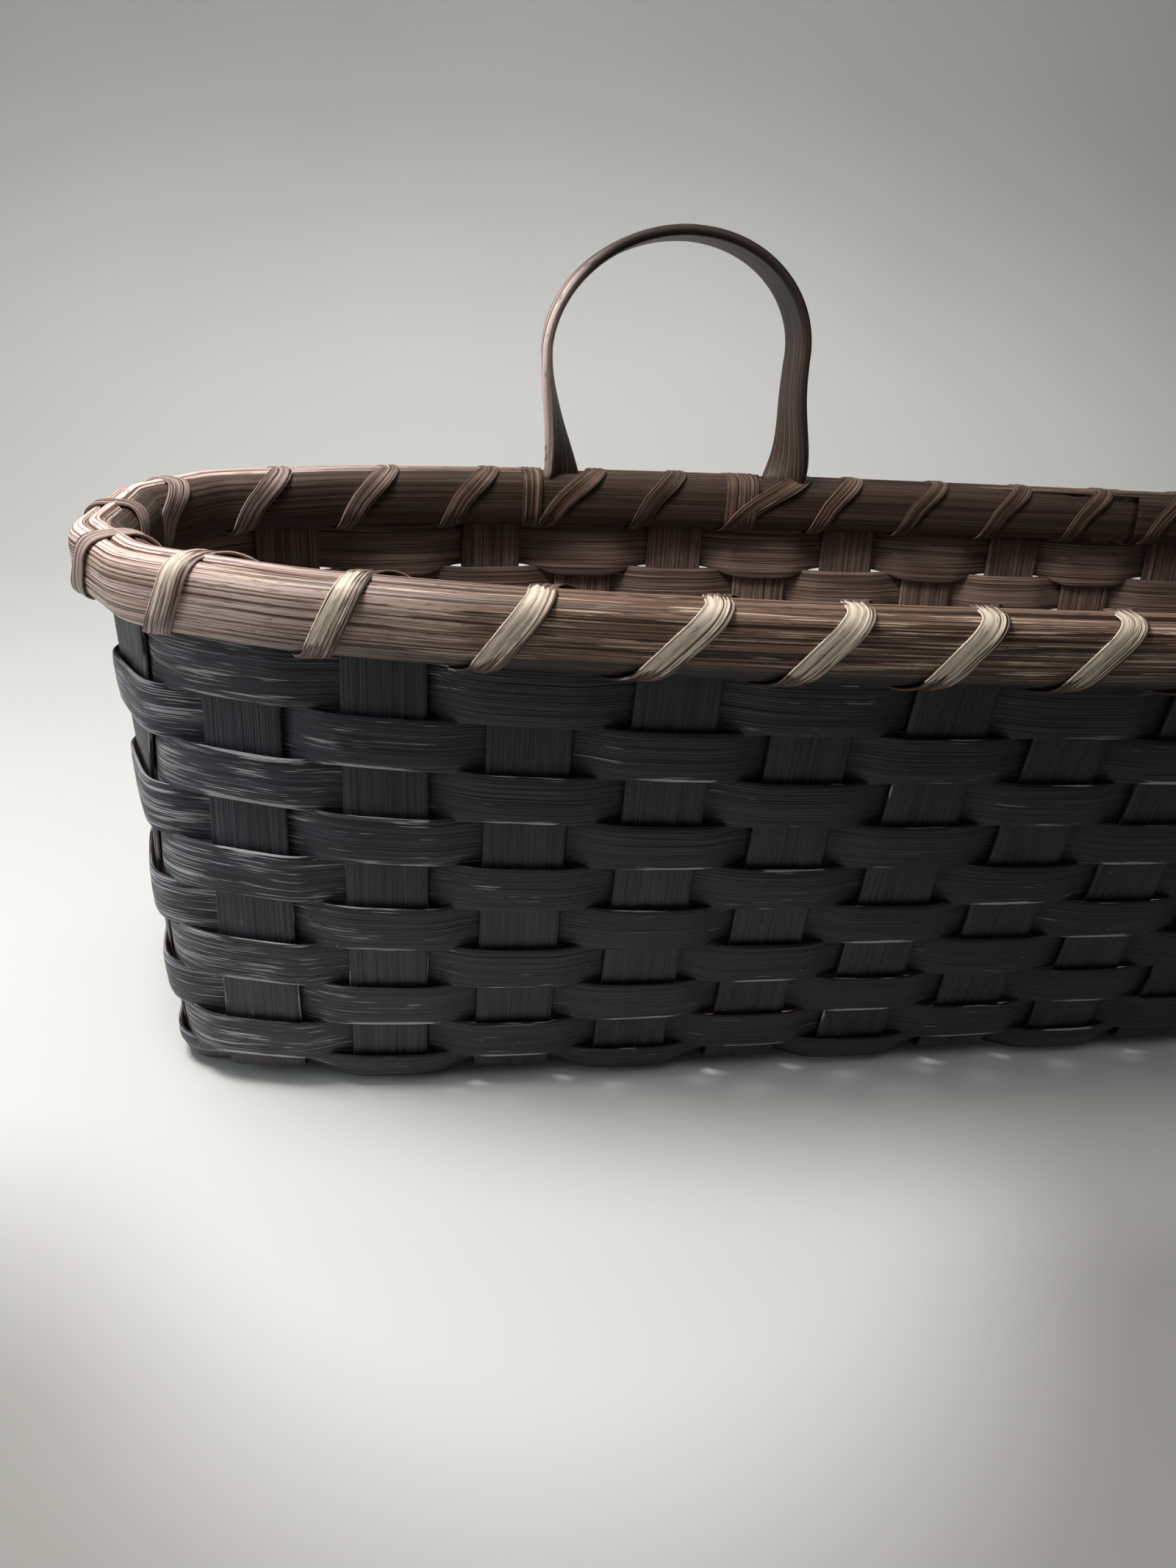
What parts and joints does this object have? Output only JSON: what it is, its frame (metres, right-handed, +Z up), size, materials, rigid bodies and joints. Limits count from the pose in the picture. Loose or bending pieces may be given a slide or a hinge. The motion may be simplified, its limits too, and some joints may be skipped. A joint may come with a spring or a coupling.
{
  "type": "wall basket",
  "caption": "Long narrow hand-woven flat-reed wall basket with flared sides, a lashed double rim and upright loops on the back rim to hang it from pegs.",
  "frame": {"origin": "middle of the base on the surface it stands on", "axes": "+X along the basket to the right as seen from the front, +Y to the back rim that carries the hanging loops, +Z up"},
  "size_m": [0.4816, 0.141, 0.1721],
  "materials": {
    "black_paint": "black paint on flat reed, satin, worn to bare wood on the edges",
    "walnut_stain": "walnut stain on reed, satin, rubbed paler along the high fibres"
  },
  "bodies": {
    "root": {"cross_spoke_01": "black_paint", "cross_spoke_02": "black_paint", "cross_spoke_03": "black_paint", "cross_spoke_04": "black_paint", "cross_spoke_05": "black_paint", "cross_spoke_06": "black_paint", "cross_spoke_07": "black_paint", "cross_spoke_08": "black_paint", "cross_spoke_09": "black_paint", "cross_spoke_10": "black_paint", "cross_spoke_11": "black_paint", "cross_spoke_12": "black_paint", "cross_spoke_13": "black_paint", "cross_spoke_14": "black_paint", "cross_spoke_15": "black_paint", "cross_spoke_16": "black_paint", "cross_spoke_17": "black_paint", "long_spoke_1": "black_paint", "long_spoke_2": "black_paint", "long_spoke_3": "black_paint", "weaver_row_01": "black_paint", "weaver_row_02": "black_paint", "weaver_row_03": "black_paint", "weaver_row_04": "black_paint", "weaver_row_05": "black_paint", "weaver_row_06": "black_paint", "weaver_row_07": "black_paint", "weaver_row_08": "black_paint", "weaver_row_09": "black_paint", "weaver_row_10": "black_paint", "rim_row": "black_paint", "outer_rim": "walnut_stain", "inner_rim": "walnut_stain", "rim_filler_front": "walnut_stain", "rim_filler_left_loop": "walnut_stain", "rim_filler_middle": "walnut_stain", "rim_filler_right_loop": "walnut_stain", "rim_lashing": "walnut_stain", "hanging_loop_left": "walnut_stain", "hanging_loop_right": "walnut_stain"}
  },
  "joints": []
}
